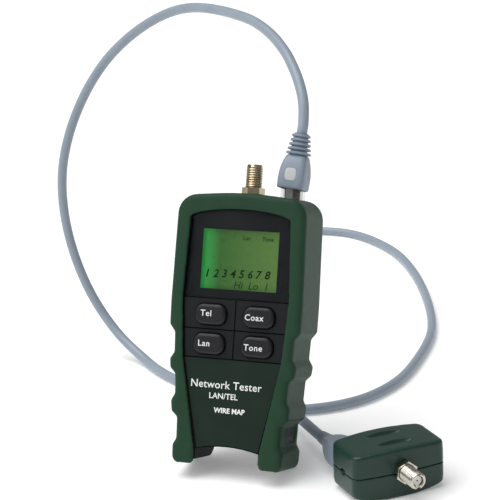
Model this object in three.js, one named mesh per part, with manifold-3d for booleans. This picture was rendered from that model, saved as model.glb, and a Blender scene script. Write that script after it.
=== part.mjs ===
// Network cable tester: a handheld unit leaning on its fold-out stand, a patch lead and a small remote.
// Millimetres, +Z up, the table at z = 0. The unit faces -Y, and its own frame has x to the right,
// y backwards from the front face and z up from the bottom of its legs.
import * as THREE from 'three';
import { mergeVertices } from 'three/addons/utils/BufferGeometryUtils.js';
import Module from 'manifold-3d';

const wasm = await Module();
wasm.setup();

// ---- Driving dimensions ----
const GAP = 0.3; // clearance between neighbouring pieces
const LEAN = THREE.MathUtils.degToRad(18); // the unit leans back by this much
const HEIGHT = 150;
const DEPTH = 34;
const HEEL_FLAT = 1.6; // how much of the rubber heels the table plane takes off
// Middle of the rigid pieces on the table, from the point between the unit's heels.
const ORIGIN = { x: 38.54, y: 2.32 };

const LIP = 1.9; // thickness of the jacket's front and rear lips
const CORNER = 11; // radius of the jacket's top corners
const EDGE = 2.9; // rounding of the jacket's front and rear edges
const LEG_INNER = 18.2; // half the space between the legs
const ARCH_SIDE = 8.7; // height of the arch between the legs, at its ends and its middle
const ARCH_MIDDLE = 11;
const SEAM = 17; // depth of the joint between the front and rear shells
const WALL = 2;

const PANEL_BOTTOM = 59; // the black panel: its lower edge, divide, shoulders and peak
const PANEL_DIVIDE = 91.7;
const PANEL_SHOULDER = 136.7;
const PANEL_TOP = 141;
const PANEL_HALF = { bottom: 28.5, divide: 30.8, shoulder: 28.9 };
const PANEL_FACE = 2.4; // depth of the panel's face behind the jacket's front

const WINDOW = { width: 44.3, low: 97, high: 129.7 }; // clear part of the display
const KEY = {
  width: 18.4, height: 11.6, corner: 5, dx: 14, upper: 82.9, lower: 66.8, rise: 2.2, flange: 0.9,
};

const STAND = { width: 28, thick: 2.6, hingeY: 32.9, hingeZ: 80, length: 75.6, foot: 1.9, pin: 1.5 };
const DOOR = { width: 52, low: 86.5, high: 117.5, thick: 1.7, pin: 1.1 };
const BATTERY = { width: 48.5, height: 26, thick: 16.6, front: 12.9 };

const COAX = { x: 0.6, y: 17, barrel: 4.7, bore: 2.6, nutAcross: 11.1, nut: 3.4, stickOut: 16.2 };
const PLUG = { width: 11.7, thick: 8, length: 21.5, inBoot: 4 };
const JACK = { width: 15.4, thick: 13.2, length: 18, top: 143 }; // top: where the unit's jack ends
const BOOT = { width: 14.2, front: 8.2, back: 6, body: 18.8, length: 31, tip: 3.6 };
// The boot's mouth is this far over the unit's top, and its axis turned by these angles in degrees.
const UNIT_PLUG = { x: 23.2, y: 18.2, mouth: 3.8, lean: 4.5, tilt: 3 };
const CABLE_RADIUS = 3;

const REMOTE = {
  x: 87.2, y: -13.3, yaw: 43, half: 27, endDepth: 14.5, bulge: 2, corner: 4.5,
  low: 2.9, high: 26.3, crown: 1.5, seam: 14.2, coaxX: 1, coaxZ: 15.2, plugX: -15, mouth: 4.2, droop: -3,
};
const BATTERY_DOOR_HINGE = { y: 31.5, z: DOOR.low + 1.2 };
const BACK = DEPTH - LIP - GAP; // the rear shell's back face
const SCREWS = [[-27, 132], [27, 126], [-24.5, 30], [24.5, 30]];
const REMOTE_SCREWS = [[20.5, -6], [20.5, 6]];

// The lead's centreline between its two boots, measured from the point between the unit's heels:
// over the arch, down to the table, once round it behind the unit and back past the heels to the remote.
const ROUTE = [
  [24.4, 51.8, 194.1], [18.9, 61.2, 203.7], [11.5, 71.6, 211.5], [4, 81.5, 217], [-12, 100.5, 224],
  [-32, 119.5, 228.5], [-80, 155.5, 228.5], [-103, 165, 223], [-126, 168, 211], [-146, 166, 194],
  [-161, 161.5, 173], [-172, 156, 148], [-178, 152, 122], [-178.5, 150.5, 95], [-173, 149, 67],
  [-161, 146.5, 39.5], [-142.5, 141.5, 17], [-119, 129, 5.2], [-92, 106.5, 3.3], [-30, 72, 3.2],
  [7, 72, 3.2], [35, 92, 3.2], [50, 126, 3.2], [52.5, 176, 3.2], [45, 236, 3.2], [0, 351, 3.2],
  [-37, 407, 3.2], [-78, 437, 3.2], [-115, 434, 3.2], [-135, 403, 3.2], [-133, 346, 3.2], [-94, 218, 3.2],
  [-67, 154, 3.4], [-37, 100, 7], [-9, 66.5, 9.9], [13, 46.5, 11.2],
];

// ---- Solids ----
function solid(geometry) {
  geometry.deleteAttribute('normal');
  geometry.deleteAttribute('uv');
  const merged = mergeVertices(geometry, 1e-4);
  const vertProperties = new Float32Array(merged.attributes.position.array);
  const triVerts = new Uint32Array(merged.index.array);
  return new wasm.Manifold(new wasm.Mesh({ numProp: 3, vertProperties, triVerts }));
}

function unite(...pieces) {
  return pieces.reduce((whole, piece) => whole.add(piece));
}

function cut(whole, ...tools) {
  return tools.reduce((rest, tool) => rest.subtract(tool), whole);
}

function toGeometry(body) {
  const mesh = body.getMesh();
  const geometry = new THREE.BufferGeometry();
  geometry.setAttribute('position', new THREE.BufferAttribute(new Float32Array(mesh.vertProperties), 3));
  geometry.setIndex(new THREE.BufferAttribute(new Uint32Array(mesh.triVerts), 1));
  return geometry;
}

function node(name, body, material) {
  const mesh = new THREE.Mesh(toGeometry(body), material);
  mesh.name = name;
  return mesh;
}

// A block between two corners.
function block(low, high) {
  const size = high.map((value, axis) => value - low[axis]);
  const geometry = new THREE.BoxGeometry(...size);
  geometry.translate(...low.map((value, axis) => value + size[axis] / 2));
  return solid(geometry);
}

// A shape drawn in x and z, from depth y0 to y1, with rounded or bevelled edges.
function plate(shape, y0, y1, edge = 0, steps = 3, curveSegments = 2) {
  const geometry = new THREE.ExtrudeGeometry(shape, {
    depth: y1 - y0 - 2 * edge,
    bevelEnabled: edge > 0,
    bevelThickness: edge,
    bevelSize: edge,
    bevelOffset: -edge,
    bevelSegments: steps,
    curveSegments,
  });
  geometry.rotateX(Math.PI / 2);
  geometry.translate(0, y1 - edge, 0);
  return solid(geometry);
}

// A shape drawn in x and y, from height z0 to z1.
function column(shape, z0, z1) {
  const geometry = new THREE.ExtrudeGeometry(shape, { depth: z1 - z0, bevelEnabled: false });
  geometry.translate(0, 0, z0);
  return solid(geometry);
}

// A shape drawn in y and z, from x0 to x1.
function profile(shape, x0, x1) {
  const settings = { depth: x1 - x0, bevelEnabled: false, curveSegments: 3 };
  const geometry = new THREE.ExtrudeGeometry(shape, settings);
  geometry.rotateX(Math.PI / 2);
  geometry.rotateZ(Math.PI / 2);
  geometry.translate(x0, 0, 0);
  return solid(geometry);
}

function polygon(points) {
  return new THREE.Shape(points.map(([a, b]) => new THREE.Vector2(a, b)));
}

function roundedRectangle(x0, y0, x1, y1, radius) {
  const shape = new THREE.Shape();
  shape.moveTo(x0 + radius, y0);
  shape.lineTo(x1 - radius, y0);
  shape.absarc(x1 - radius, y0 + radius, radius, -Math.PI / 2, 0);
  shape.lineTo(x1, y1 - radius);
  shape.absarc(x1 - radius, y1 - radius, radius, 0, Math.PI / 2);
  shape.lineTo(x0 + radius, y1);
  shape.absarc(x0 + radius, y1 - radius, radius, Math.PI / 2, Math.PI);
  shape.lineTo(x0, y0 + radius);
  shape.absarc(x0 + radius, y0 + radius, radius, Math.PI, 1.5 * Math.PI);
  return shape;
}

function ellipse(x, y, halfWidth, halfHeight) {
  const shape = new THREE.Shape();
  shape.absellipse(x, y, halfWidth, halfHeight, 0, 2 * Math.PI);
  return shape;
}

function regular(sides, acrossFlats, turn = 0) {
  const radius = acrossFlats / 2 / Math.cos(Math.PI / sides);
  const angles = Array.from({ length: sides }, (_, i) => turn + (2 * Math.PI * i) / sides);
  return polygon(angles.map((angle) => [radius * Math.cos(angle), radius * Math.sin(angle)]));
}

// Rods along the three axes, from their first end to their last.
function rodZ(x, y, z0, z1, radius, sides = 20) {
  const geometry = new THREE.CylinderGeometry(radius, radius, z1 - z0, sides);
  geometry.rotateX(Math.PI / 2);
  geometry.translate(x, y, (z0 + z1) / 2);
  return solid(geometry);
}

function rodY(x, z, y0, y1, radius, sides = 20, endRadius = radius) {
  const geometry = new THREE.CylinderGeometry(endRadius, radius, y1 - y0, sides);
  geometry.translate(x, (y0 + y1) / 2, z);
  return solid(geometry);
}

function rodX(y, z, x0, x1, radius, sides = 16) {
  const geometry = new THREE.CylinderGeometry(radius, radius, x1 - x0, sides);
  geometry.rotateZ(Math.PI / 2);
  geometry.translate((x0 + x1) / 2, y, z);
  return solid(geometry);
}

function finish(color, roughness, metalness = 0) {
  return new THREE.MeshStandardMaterial({ color, roughness, metalness, flatShading: true });
}

const looks = {
  jacket: () => finish(0x3a5244, 0.7),
  label: () => finish(0x222d2a, 0.5),
  shell: () => finish(0x17191a, 0.6),
  panel: () => finish(0x232327, 0.45),
  key: () => finish(0x191a1c, 0.55),
  clear: () => finish(0xdfe4e6, 0.1),
  display: () => finish(0x57a03c, 0.3),
  board: () => finish(0x1e5a34, 0.5),
  chip: () => finish(0x151515, 0.5),
  brass: () => finish(0x8a7a52, 0.35, 1),
  nickel: () => finish(0xb9b4a8, 0.3, 1),
  steel: () => finish(0x8d9094, 0.35, 1),
  white: () => finish(0xe6e4dc, 0.4),
  battery: () => finish(0x2b2f36, 0.35, 0.3),
  boot: () => finish(0x8998a6, 0.5),
  cable: () => finish(0x9aa8ba, 0.5),
  gold: () => finish(0xa8873a, 0.3, 1),
  remote: () => finish(0x243a33, 0.4),
};

// ---- Outlines of the handheld unit ----
// Right-hand side of the jacket from the sole up: foot, two ribs between three recesses, then the body.
const RIBBED_SIDE = [
  [32.2, 10.3], [30.2, 13.7], [30.5, 25.3], [34, 28.3], [34.7, 34.4], [32.6, 38.2], [33.2, 49], [36.3, 52],
  [36.9, 57.2], [34.4, 61], [34.9, 72], [38.1, 76], [38.3, 90], [37.4, 137.6],
];
const SOLE = { innerRadius: 3.2, outerRadius: 4.4, outer: 32 };
const SHOULDER = { x: 26.4, z: 137.4 }; // centre of the top corner's arc

// Adds one side of an outline mirrored, so that the whole runs anticlockwise.
function mirrored(half) {
  return polygon([...half, ...half.filter(([x]) => x > 0).map(([x, z]) => [-x, z]).reverse()]);
}

function arcPoints(x, z, radius, from, to, steps) {
  return Array.from({ length: steps + 1 }, (_, i) => {
    const angle = THREE.MathUtils.degToRad(from + ((to - from) * i) / steps);
    return [x + radius * Math.cos(angle), z + radius * Math.sin(angle)];
  });
}

// Points of a shallow arch or crown between its middle and its end.
function crownPoints(halfWidth, middle, end, steps) {
  return Array.from({ length: steps }, (_, i) => {
    const along = i / steps;
    return [halfWidth * along, middle + (end - middle) * along * along];
  });
}

function jacketOutline() {
  const { innerRadius, outerRadius, outer } = SOLE;
  const cornerTop = SHOULDER.z + CORNER;
  const crown = crownPoints(SHOULDER.x - 3, HEIGHT, cornerTop + 0.2, 4);
  return mirrored([
    ...crownPoints(LEG_INNER, ARCH_MIDDLE, ARCH_SIDE, 4),
    [LEG_INNER, ARCH_SIDE],
    ...arcPoints(LEG_INNER + innerRadius, innerRadius, innerRadius, 180, 270, 3),
    ...arcPoints(outer - outerRadius, outerRadius, outerRadius, 270, 360, 4),
    ...RIBBED_SIDE,
    ...arcPoints(SHOULDER.x, SHOULDER.z, CORNER, 5, 84, 7),
    ...crown.reverse(),
  ]);
}

const HOLLOW = [-32.6, 62, 32.6, 140.5, 3]; // the shells' main hollow and its corner radius

// The two shells share one outline, which also fills the legs down to short of the sole.
function shellOutline(grow = 0) {
  const leg = 3.3 - grow;
  return mirrored([
    ...crownPoints(LEG_INNER, ARCH_MIDDLE + GAP - grow, ARCH_SIDE + GAP - grow, 4),
    [LEG_INNER + 0.1 - grow, ARCH_SIDE + GAP - grow],
    [LEG_INNER + 0.1 - grow, leg],
    [27.8 + grow, leg],
    [28 + grow, 26], [30.6 + grow, 48], [32.4 + grow, 66], [34.9 + grow, 80], [34.9 + grow, 138],
    ...arcPoints(SHOULDER.x, SHOULDER.z, 8.4 + grow, 6, 84, 5),
    ...crownPoints(SHOULDER.x - 3, 147.2 + grow, 146 + grow, 3).reverse(),
  ]);
}

// The black panel's outline between two heights.
function panelOutline(z0, z1, inset) {
  const { bottom, divide, shoulder } = PANEL_HALF;
  const half = (z) => (z < PANEL_DIVIDE
    ? bottom + ((divide - bottom) * (z - PANEL_BOTTOM)) / (PANEL_DIVIDE - PANEL_BOTTOM)
    : divide + ((shoulder - divide) * (z - PANEL_DIVIDE) ** 2) / (PANEL_SHOULDER - PANEL_DIVIDE) ** 2);
  const heights = z1 > PANEL_SHOULDER ? [z0, z0 + 12, z0 + 24, z0 + 34, PANEL_SHOULDER] : [z0, z1];
  const side = heights.map((z) => [half(z) - inset, z === z0 ? z + inset : z]);
  if (z1 > PANEL_SHOULDER) {
    const top = crownPoints(shoulder - 1, PANEL_TOP - inset, PANEL_SHOULDER + 1 - inset, 6);
    return mirrored([[0, z0 + inset], ...side, ...top.reverse()]);
  }
  side[1][1] = z1 - inset;
  return mirrored([[0, z0 + inset], ...side, [0, z1 - inset]]);
}

// Front opening of the jacket: the panel above, the label down to the arch below.
function frontOpening() {
  return unite(
    plate(panelOutline(PANEL_BOTTOM, PANEL_TOP, 0), -1, LIP + 1),
    plate(labelOutline(-0.01, -3), -1, LIP + 1),
  );
}

// The label below the panel; lift raises its lower edge off the arch.
function labelOutline(inset, lift) {
  const low = (x) => ARCH_MIDDLE + (ARCH_SIDE - ARCH_MIDDLE) * (x / LEG_INNER) ** 2 + lift;
  const top = PANEL_BOTTOM - inset;
  return mirrored([
    ...[0, 6, 12, LEG_INNER - inset].map((x) => [x, low(x)]),
    [PANEL_HALF.bottom - inset, top],
    [0, top],
  ]);
}

// ---- The handheld unit ----
function jacket() {
  const outside = plate(jacketOutline(), 0, DEPTH, EDGE, 3);
  const inside = plate(shellOutline(GAP), LIP, DEPTH - LIP);
  const legRoom = (side) => {
    const near = side * (LEG_INNER - 2);
    const far = side * (27.8 + GAP);
    return block([Math.min(near, far), LIP, -1], [Math.max(near, far), DEPTH + 1, 10]);
  };
  const rearOpening = plate(roundedRectangle(-28.4, -3, 28.4, 143, 8), DEPTH - LIP - 1, DEPTH + 1);
  const coaxHole = rodZ(COAX.x, COAX.y, HEIGHT - 8, HEIGHT + 2, COAX.barrel + 0.4);
  const body = cut(
    outside, inside, frontOpening(), rearOpening, legRoom(-1), legRoom(1), coaxHole, plugHole(0.3),
    sidePocket(-1), sidePocket(1), belowTable(),
  );
  return node('rubber_jacket', body, looks.jacket());
}

// The shallow dark pocket in the lowest recess of each side.
function sidePocket(side) {
  const shape = roundedRectangle(DEPTH / 2 - 8, 15.4, DEPTH - 7, 23.8, 1.4);
  const depth = 0.9;
  const inner = side > 0 ? 30.2 - depth : -34;
  return profile(shape, inner, inner + 3.8 + depth);
}

// The half-space under the table, in the unit's own frame.
function belowTable() {
  const geometry = new THREE.BoxGeometry(100, 90, 20);
  geometry.translate(0, 0, -10 + HEEL_FLAT);
  geometry.rotateX(LEAN);
  geometry.translate(0, DEPTH, 0);
  return solid(geometry);
}

// The way in for the lead's plug and its latch through the top.
function plugHole(extra) {
  const halfWidth = PLUG.width / 2 + extra;
  const front = UNIT_PLUG.y - PLUG.thick / 2 - extra;
  const back = UNIT_PLUG.y + PLUG.thick / 2 + extra;
  return unite(
    block([UNIT_PLUG.x - halfWidth, front, 134], [UNIT_PLUG.x + halfWidth, back, HEIGHT + 3]),
    block([UNIT_PLUG.x - 3.6, front - 3.6, 134], [UNIT_PLUG.x + 3.6, front + 1, HEIGHT + 3]),
  );
}

function frontShell() {
  const outside = plate(shellOutline(), LIP + GAP, SEAM - GAP / 2);
  const inside = plate(roundedRectangle(...HOLLOW), 5.8, SEAM);
  const lowerHollow = plate(polygon([[-25, 20], [25, 20], [29, 59], [-29, 59]]), 6.3, SEAM);
  const pocketFloor = 4.3;
  const panelPocket = plate(panelOutline(PANEL_BOTTOM, PANEL_TOP, -0.4), LIP, pocketFloor);
  const labelPocket = plate(labelOutline(-0.01, 0.5), LIP, pocketFloor);
  const window = block([-23.2, 4, 95.6], [23.2, 7, 131]);
  const keyHoles = keyCentres().map((place) => plate(keyOutline(place, KEY.flange + 0.4), 4, 8.2));
  const lowScrews = SCREWS.filter(([, z]) => z < PANEL_BOTTOM);
  const bores = lowScrews.map(([x, z]) => rodY(x, z, SEAM - 9, SEAM + 1, 1.1, 12));
  const body = cut(
    outside, inside, lowerHollow, panelPocket, labelPocket, window, ...keyHoles, ...bores,
    coaxPassage(), plugHole(GAP), jackRoom(),
  );
  return node('front_shell', body, looks.shell());
}

function rearShell() {
  const outline = plate(shellOutline(), SEAM + GAP / 2, BACK);
  const outside = outline.intersect(profile(heelProfile(), -60, 60));
  const inside = plate(roundedRectangle(...HOLLOW), SEAM, 28.4);
  const lowerHollow = plate(polygon([[-25, 20], [25, 20], [29, 60.5], [-29, 60.5]]), SEAM, 28.4);
  const doorHalf = DOOR.width / 2;
  const batteryRoom = block([1.4 - doorHalf, 12, DOOR.low + 1.6], [doorHalf - 1.4, DEPTH, DOOR.high - 1.4]);
  const doorSeat = block([-doorHalf - GAP, 29.7, DOOR.low - GAP], [doorHalf + GAP, DEPTH, DOOR.high + GAP]);
  const { y: pinY, z: pinZ } = BATTERY_DOOR_HINGE;
  const doorPinRoom = rodX(pinY, pinZ, -doorHalf - 2.2, doorHalf + 2.2, DOOR.pin + 0.5);
  const standHalf = STAND.width / 2;
  const standSeat = block([-standHalf - 0.6, 30.2, 2], [standHalf + 0.6, DEPTH, STAND.hingeZ + 3.4]);
  const fingerRoom = rodX(33.5, 8, -9, 9, 6, 20);
  const pinRoom = rodX(STAND.hingeY, STAND.hingeZ, -standHalf - 4.4, standHalf + 4.4, STAND.pin + 0.15);
  const ear = roundedRectangle(31, STAND.hingeZ - 3, 35, STAND.hingeZ + 3, 1.4);
  const ears = [-standHalf - 5.6, standHalf + 0.6].map((x) => profile(ear, x, x + 5));
  const bores = SCREWS.map(([x, z]) => rodY(x, z, 26, 40, 1.35, 12));
  const wells = SCREWS.map(([x, z]) => rodY(x, z, 30, 40, 2.7, 16));
  const body = cut(
    unite(outside, ...ears), inside, lowerHollow, batteryRoom, doorSeat, doorPinRoom, standSeat, fingerRoom,
    pinRoom, ...bores, ...wells, coaxPassage(), plugHole(GAP), jackRoom(),
  );
  return node('rear_shell', body, looks.shell());
}

// The rear shell's side view, with the round heel of each leg.
function heelProfile() {
  const shape = new THREE.Shape();
  const heel = 8;
  const sole = 3.3;
  shape.moveTo(SEAM + GAP / 2, 0);
  shape.lineTo(SEAM + GAP / 2, HEIGHT);
  shape.lineTo(BACK, HEIGHT);
  shape.lineTo(BACK, sole + heel);
  shape.absarc(BACK - heel, sole + heel, heel, 0, -Math.PI / 2, true);
  shape.lineTo(BACK - heel, 0);
  return shape;
}

function coaxPassage() {
  return unite(
    rodZ(COAX.x, COAX.y, 138, HEIGHT + 2, COAX.barrel + 0.4),
    rodZ(COAX.x, COAX.y, 134, 141, 7.6),
  );
}

function jackRoom() {
  const { x, y } = UNIT_PLUG;
  const half = JACK.width / 2 + GAP;
  return block([x - half, y - 8.2, JACK.top - 19.5], [x + half, y + 6.8, JACK.top + GAP]);
}

function labelPlate() {
  return node('label_plate', plate(labelOutline(0.35, 0.9), 2.2, 4), looks.label());
}

function keyCentres() {
  const names = { upper: ['tel', 'coax'], lower: ['lan', 'tone'] };
  return ['upper', 'lower'].flatMap((row) => names[row].map((name, i) => (
    { name: `${name}_key`, x: (2 * i - 1) * KEY.dx, z: KEY[row] })));
}

function keyOutline({ x, z }, grow) {
  const halfWidth = KEY.width / 2 + grow;
  const halfHeight = KEY.height / 2 + grow;
  return roundedRectangle(x - halfWidth, z - halfHeight, x + halfWidth, z + halfHeight, KEY.corner + grow);
}

function keypadFrame() {
  const holes = keyCentres().map((place) => plate(keyOutline(place, 0.4), 0, 6, 0, 0, 5));
  const groove = { half: 0.35, low: 74.5, depth: 0.5 };
  const cross = unite(
    block([-groove.half, 0, PANEL_BOTTOM], [groove.half, PANEL_FACE + groove.depth, PANEL_DIVIDE]),
    block([-40, 0, groove.low], [40, PANEL_FACE + groove.depth, groove.low + 2 * groove.half]),
  );
  const body = plate(panelOutline(PANEL_BOTTOM, PANEL_DIVIDE, 0.3), PANEL_FACE, 4);
  return node('keypad_frame', cut(body, cross, ...holes), looks.panel());
}

function keyCap(place) {
  const skirt = PANEL_FACE - 0.2;
  const stem = plate(keyOutline(place, 0), skirt, 6.4, 0, 0, 5);
  const flange = plate(keyOutline(place, KEY.flange), 4.5, 5.5, 0, 0, 5);
  const crown = plate(keyOutline(place, 0), skirt - KEY.rise, skirt + 1.6, 1.6, 2, 5);
  return node(place.name, unite(stem, flange, crown), looks.key());
}

function keyMembrane() {
  const sheet = block([-27.5, 8.6, 62.6], [27.5, 9.8, 89.6]);
  const domes = keyCentres().map(({ x, z }) => rodY(x, z, 7.7, 9, 3.2, 16, 4.4));
  return node('key_membrane', unite(sheet, ...domes), looks.boot());
}

function displayPieces() {
  const lens = plate(panelOutline(PANEL_DIVIDE, PANEL_TOP, 0.3), PANEL_FACE, 3.4);
  const hole = block([-WINDOW.width / 2, 3, WINDOW.low], [WINDOW.width / 2, 5, WINDOW.high]);
  const mask = cut(plate(panelOutline(PANEL_DIVIDE, PANEL_TOP, 0.3), 3.65, 4), hole);
  const glass = block([-25.5, 6.1, 93.4], [25.5, 8.5, 133.2]);
  const light = block([-25, 8.8, 94], [25, 9.9, 132.6]);
  return [
    node('display_lens', lens, looks.clear()),
    node('display_mask', mask, looks.panel()),
    node('lcd_module', glass, looks.display()),
    node('backlight', light, looks.white()),
  ];
}

function electronics() {
  const board = cut(
    block([-30.5, 10.2, 63.5], [30.5, 11.8, 139.5]),
    block([COAX.x - 8, 9, 133], [COAX.x + 8, 13, 141]),
    block([UNIT_PLUG.x - JACK.width / 2 - GAP, 9, JACK.top - 19.5], [31, 13, 141]),
  );
  const chip = block([-6, 12.1, 68], [6, 14.2, 80]);
  const buzzer = rodY(20, 72, 12.1, 18, 5.5, 20);
  return [
    node('main_board', board, looks.board()),
    node('processor_chip', chip, looks.chip()),
    node('buzzer', buzzer, looks.chip()),
    rj45Jack('unit_rj45_jack', UNIT_PLUG.x, UNIT_PLUG.y, JACK.top - JACK.length),
  ];
}

// A jack whose mouth points up, with its latch channel at the front; z0 is its closed end.
function rj45Jack(name, x, y, z0) {
  const z1 = z0 + JACK.length;
  const front = y - 7.9;
  const body = block([x - JACK.width / 2, front, z0], [x + JACK.width / 2, front + JACK.thick, z1]);
  const half = PLUG.width / 2 + 0.25;
  const room = PLUG.thick / 2 + 0.25;
  const floor = z0 + 1.6;
  const socket = block([x - half, y - room, floor], [x + half, y + room, z1 + 1]);
  const channel = block([x - 3.5, y - room - 3, floor], [x + 3.5, y, z1 + 1]);
  return node(name, cut(body, socket, channel), looks.chip());
}

function batteryPieces() {
  const { width, height, thick, front } = BATTERY;
  const z0 = (DOOR.low + DOOR.high) / 2 - height / 2;
  const left = 1 - width / 2;
  const right = left + width - 4;
  const can = plate(roundedRectangle(left, z0, right, z0 + height, 1.6), front, front + thick);
  const posts = [6.5, 19.5].map((z) => rodX(front + thick / 2, z0 + z, right - 0.4, right + 1.6, 3, 12));
  const clip = block([right + 1.9, front + 2, z0 + 0.5], [right + 3.4, front + thick - 2, z0 + height - 0.5]);
  return [
    node('battery_9v', unite(can, ...posts), looks.battery()),
    node('battery_clip', clip, looks.chip()),
  ];
}

function batteryDoor() {
  const half = DOOR.width / 2;
  const { y, z } = BATTERY_DOOR_HINGE;
  const panel = plate(roundedRectangle(-half, DOOR.low, half, DOOR.high, 1), BACK - DOOR.thick, BACK);
  const hingeEdge = rodX(y, z, -half, half, 1.3, 16);
  const pins = rodX(y, z, -half - 1.6, half + 1.6, DOOR.pin, 12);
  const underHinge = block([-40, 29, DOOR.low - 1], [40, y, z]);
  const gripRibs = [110.5, 112.5, 114.5].map((low) => block([-9, BACK - 0.2, low], [9, BACK + 0.6, low + 1]));
  return node('battery_door', unite(cut(panel, underHinge), pins, ...gripRibs, hingeEdge), looks.shell());
}

// Turns the folded stand outwards about its hinge until its foot meets the table.
function standAngle() {
  const { hingeY, hingeZ, length, foot } = STAND;
  const height = (DEPTH - hingeY) * Math.sin(LEAN) + hingeZ * Math.cos(LEAN) - HEEL_FLAT;
  return Math.acos((height - foot) / (length - foot)) + LEAN;
}

function tiltStand() {
  const { width, thick, hingeY, hingeZ, length, foot } = STAND;
  const leaf = cut(
    plate(roundedRectangle(-width / 2, -length + 1.5, width / 2, -1, 2), -thick / 2, thick / 2),
    block([-width / 2 + 4, thick / 2 - 0.8, -length + 9], [width / 2 - 4, thick, -9]),
  );
  const barrel = rodX(0, 0, -width / 2, width / 2, 2.4, 16);
  const sole = rodX(0, -length + foot, -width / 2, width / 2, foot, 16);
  const bore = rodX(0, 0, -width, width, STAND.pin + 0.15, 16);
  const mesh = node('tilt_stand', cut(unite(leaf, barrel, sole), bore), looks.shell());
  mesh.rotation.x = standAngle();
  mesh.position.set(0, hingeY - DEPTH, hingeZ);
  return mesh;
}

function standPin() {
  const reach = STAND.width / 2 + 4;
  return node('stand_pin', rodX(STAND.hingeY, STAND.hingeZ, -reach, reach, STAND.pin, 16), looks.steel());
}

function caseScrews() {
  return SCREWS.map(([x, z], i) => {
    const head = rodY(x, z, 30.3, 31.5, 2.4, 16);
    const shank = rodY(x, z, z < PANEL_BOTTOM ? 10 : 26.4, 30.6, 1, 8);
    const across = block([x - 1.3, 31, z - 0.3], [x + 1.3, 33, z + 0.3]);
    const down = block([x - 0.3, 31, z - 1.3], [x + 0.3, 33, z + 1.3]);
    return node(`case_screw_${i + 1}`, cut(unite(head, shank), across, down), looks.steel());
  });
}

// A coaxial socket standing along +z: barrel with a slotted tip, nut, and white insulator with its contact.
function coaxSocket(prefix, material, nutLow, tail, slotTurn) {
  const top = nutLow + COAX.stickOut;
  const slot = solid(new THREE.BoxGeometry(2.1, 20, 4.6).rotateZ(slotTurn).translate(0, 0, top));
  const barrel = unite(
    rodZ(0, 0, nutLow - tail, top - 1, COAX.barrel, 24),
    rodZ(0, 0, top - 1.2, top, COAX.barrel - 0.5, 24),
    column(regular(6, 12), nutLow - tail, nutLow - tail + 3),
  );
  const bore = rodZ(0, 0, nutLow + 1, top + 1, COAX.bore + GAP);
  const nutTurn = 0.35;
  const hexagon = column(regular(6, COAX.nutAcross, nutTurn), nutLow, nutLow + COAX.nut);
  const nut = cut(hexagon, rodZ(0, 0, nutLow - 1, nutLow + 5, COAX.barrel + 0.25, 24));
  const core = cut(rodZ(0, 0, nutLow + 1 + GAP, top - 1.6, COAX.bore), rodZ(0, 0, top - 5, top, 0.55, 8));
  return [
    node(`${prefix}_coax_socket`, cut(barrel, bore, slot), material()),
    node(`${prefix}_coax_nut`, nut, material()),
    node(`${prefix}_coax_insulator`, core, looks.white()),
  ];
}

function unit() {
  const group = new THREE.Group();
  const body = new THREE.Group();
  body.position.y = -DEPTH;
  body.add(jacket(), frontShell(), rearShell(), labelPlate(), keypadFrame());
  body.add(...keyCentres().map(keyCap), keyMembrane(), ...displayPieces(), ...electronics());
  body.add(...batteryPieces(), batteryDoor(), standPin(), ...caseScrews());
  const socket = new THREE.Group();
  socket.position.set(COAX.x, COAX.y, 0);
  socket.add(...coaxSocket('unit', looks.brass, HEIGHT + GAP, 15, -0.37));
  body.add(socket);
  group.add(body, tiltStand());
  group.rotation.x = -LEAN;
  group.position.z = -HEEL_FLAT;
  return group;
}

// ---- Plug, latch and boot, standing nose down along z with the latch at -y; z = 0 is the boot's mouth ----
const NOSE = PLUG.inBoot - PLUG.length; // the plug's nose, below the mouth

function plugPieces(prefix) {
  const half = PLUG.width / 2;
  const y = PLUG.thick / 2;
  const body = cut(
    block([-half, -y, NOSE], [half, y, PLUG.inBoot]),
    block([-half + 1, -y + 1.6, NOSE + 7], [half - 1, y - 1.4, PLUG.length]),
    block([-half + 1, y - 0.9, NOSE + 1], [half - 1, y + 1, NOSE + 6]),
    block([-3.2, -y - 1, NOSE - 1], [3.2, -y + 1.1, NOSE + 5]),
  );
  const pitch = 1.02;
  const places = Array.from({ length: 8 }, (_, i) => (i - 3.5) * pitch);
  const wires = unite(
    block([-half + 1.5, -1, NOSE + 7.5], [half - 1.5, 0.1, PLUG.inBoot - 1]),
    ...places.map((x) => rodZ(x, 0, NOSE + 7.5, PLUG.inBoot - 1, 0.5, 6)),
  );
  const contacts = unite(
    block([-half + 1.4, y - 0.6, NOSE + 1.4], [half - 1.4, y - 0.35, NOSE + 5.6]),
    ...places.map((x) => block([x - 0.15, y - 0.5, NOSE + 1.6], [x + 0.15, y - 0.05, NOSE + 5.4])),
  );
  return [
    node(`${prefix}_plug`, body, looks.clear()),
    node(`${prefix}_plug_wires`, wires, looks.gold()),
    node(`${prefix}_plug_contacts`, contacts, looks.gold()),
    plugLatch(prefix),
  ];
}

// The springy latch: hinged at the nose, standing off the plug towards its thumb pad.
function plugLatch(prefix) {
  const y = PLUG.thick / 2;
  const arm = polygon([
    [-y + 0.8, NOSE + 0.5], [-y + 0.8, NOSE + 3.4], [-y - 0.3, NOSE + 4.8], [-y - 1.6, 10],
    [-y - 2.9, 10], [-y - 2.9, 8.8], [-y - 1.5, NOSE + 4.2], [-y - 0.3, NOSE + 0.5],
  ]);
  const pad = block([-3.3, -y - 2.9, 2.4], [3.3, -y - 1.9, 10.2]);
  return node(`${prefix}_plug_latch`, unite(profile(arm, -1.9, 1.9), pad), looks.clear());
}

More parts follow.
